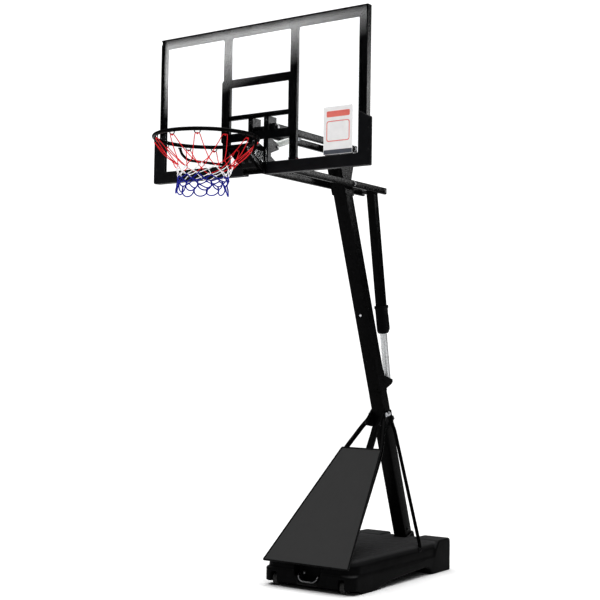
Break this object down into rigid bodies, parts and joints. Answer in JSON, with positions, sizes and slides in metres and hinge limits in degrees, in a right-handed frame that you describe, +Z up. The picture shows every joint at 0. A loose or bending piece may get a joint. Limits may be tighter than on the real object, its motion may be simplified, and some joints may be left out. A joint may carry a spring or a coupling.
{
  "type": "portable basketball hoop",
  "caption": "Free-standing basketball hoop on a wheeled, ballasted base, with a leaning square pole, parallel lifting arms, a clear framed backboard, a sprung rim and a tricolour net.",
  "frame": {"origin": "on the flat underside of the base, in the mirror plane, below the foot of the pole", "axes": "+Z up, -Y towards the player and the rim, +X to the player's right as the player faces the board"},
  "size_m": [1.29, 2.1155, 2.756],
  "materials": {
    "base_plastic": "blow-moulded, fine pebble grain",
    "black_steel": "satin black powder coat",
    "bare_steel": "zinc plated",
    "acrylic": "clear gloss acrylic",
    "pad_vinyl": "soft moulded pad",
    "panel_sheet": "matt dark grey sheet",
    "wheel_rubber": "moulded",
    "net_cord": "braided cord in three bands of colour",
    "ribbed_silver": "ribbed satin silver",
    "grip_plastic": "moulded"
  },
  "bodies": {
    "base": {"base_tank": "base_plastic", "transport_handle": "bare_steel", "wheel_axle_left": "bare_steel", "wheel_axle_right": "bare_steel", "pole_lower": "black_steel", "pole_upper": "black_steel", "pole_cap": "base_plastic", "head_plate_left": "black_steel", "head_plate_right": "black_steel", "lower_rear_bolt": "bare_steel", "upper_rear_bolt": "bare_steel", "brace_hub_left": "black_steel", "brace_hub_right": "black_steel", "front_brace_left": "black_steel", "front_brace_right": "black_steel", "side_brace_left": "black_steel", "side_brace_right": "black_steel", "centre_brace": "black_steel", "front_panel": "panel_sheet", "strut_bracket": "black_steel"},
    "fill_cap": {"fill_cap": "base_plastic"},
    "wheel_left": {"wheel_left": "wheel_rubber"},
    "wheel_right": {"wheel_right": "wheel_rubber"},
    "lower_arms": {"lower_arm_left": "black_steel", "lower_arm_right": "black_steel", "strut_top_bolt": "bare_steel"},
    "upper_arms": {"upper_arm_left": "black_steel", "upper_arm_right": "black_steel"},
    "carriage": {"carriage_upright_left": "black_steel", "carriage_upright_right": "black_steel", "cross_bar": "black_steel", "board_strut_left": "black_steel", "board_strut_right": "black_steel", "frame_top": "black_steel", "frame_bottom": "black_steel", "frame_left": "black_steel", "frame_right": "black_steel", "acrylic_sheet": "acrylic", "corner_pad_left": "pad_vinyl", "corner_pad_right": "pad_vinyl", "lower_front_bolt": "bare_steel", "upper_front_bolt": "bare_steel", "assist_foot_pin": "bare_steel", "rim_mount": "black_steel", "rim_hinge_pin": "bare_steel"},
    "assist_cylinder": {"assist_cover": "ribbed_silver"},
    "assist_rod": {"assist_rod": "bare_steel"},
    "strut_outer": {"strut_outer_tube": "black_steel", "strut_grip": "grip_plastic"},
    "trigger": {"strut_trigger": "grip_plastic"},
    "strut_inner": {"strut_inner_tube": "bare_steel", "strut_foot_pin": "bare_steel"},
    "rim": {"rim_bracket": "black_steel", "rim_spring_box": "black_steel", "rim_ring": "black_steel", "rim_brace_left": "black_steel", "rim_brace_right": "black_steel", "net": "net_cord"}
  },
  "joints": [
    {"name": "lift", "type": "hinge", "parent": "base", "child": "lower_arms", "pos_m": [0, -0.652, 2.074], "axis": [-1, 0, 0], "range_deg": [0, 50]},
    {"name": "upper_arm_turn", "type": "hinge", "parent": "base", "child": "upper_arms", "pos_m": [0, -0.652, 2.257], "axis": [-1, 0, 0], "range_deg": [0, 50.5]},
    {"name": "board_level", "type": "hinge", "parent": "lower_arms", "child": "carriage", "pos_m": [0, -1.342, 2.074], "axis": [-1, 0, 0], "range_deg": [-50.5, 0]},
    {"name": "assist_tilt", "type": "hinge", "parent": "carriage", "child": "assist_cylinder", "pos_m": [0, -1.314, 2.167], "axis": [-1, 0, 0], "range_deg": [0, 59.4]},
    {"name": "assist_stroke", "type": "slide", "parent": "assist_cylinder", "child": "assist_rod", "axis": [0, 0.9426, 0.334], "range_m": [-0.072, 0]},
    {"name": "strut_tilt", "type": "hinge", "parent": "lower_arms", "child": "strut_outer", "pos_m": [0, -0.35, 2.074], "axis": [-1, 0, 0], "range_deg": [-60.5, 0]},
    {"name": "strut_stroke", "type": "slide", "parent": "strut_outer", "child": "strut_inner", "axis": [0, 0.1809, -0.9835], "range_m": [-0.1961, 0]},
    {"name": "trigger_squeeze", "type": "hinge", "parent": "strut_outer", "child": "trigger", "pos_m": [0, -0.19792, 1.42683], "axis": [-1, 0, 0], "range_deg": [0, 6], "stiffness_Nm_per_rad": 4, "springref_deg": -5.73},
    {"name": "rim_breakaway", "type": "hinge", "parent": "carriage", "child": "rim", "pos_m": [0, -1.4175, 2.033], "axis": [1, 0, 0], "range_deg": [0, 18], "stiffness_Nm_per_rad": 250, "springref_deg": -25.78},
    {"name": "wheel_left_spin", "type": "hinge", "parent": "base", "child": "wheel_left", "pos_m": [-0.203, -0.886, 0.0335], "axis": [1, 0, 0], "continuous": true},
    {"name": "wheel_right_spin", "type": "hinge", "parent": "base", "child": "wheel_right", "pos_m": [0.203, -0.886, 0.0335], "axis": [1, 0, 0], "continuous": true},
    {"name": "fill_cap_turn", "type": "hinge", "parent": "base", "child": "fill_cap", "pos_m": [-0.176, -0.3, 0.166], "axis": [0, 0, 1], "continuous": true}
  ],
  "couplings": [
    {"joint": "upper_arm_turn", "follows": "lift", "ratio": 1},
    {"joint": "board_level", "follows": "lift", "ratio": -1},
    {"joint": "assist_tilt", "follows": "lift", "ratio": 1.1788},
    {"joint": "assist_stroke", "follows": "lift", "m_per_rad": -0.081415},
    {"joint": "strut_tilt", "follows": "lift", "ratio": -1.1992},
    {"joint": "strut_stroke", "follows": "lift", "m_per_rad": -0.22359}
  ]
}
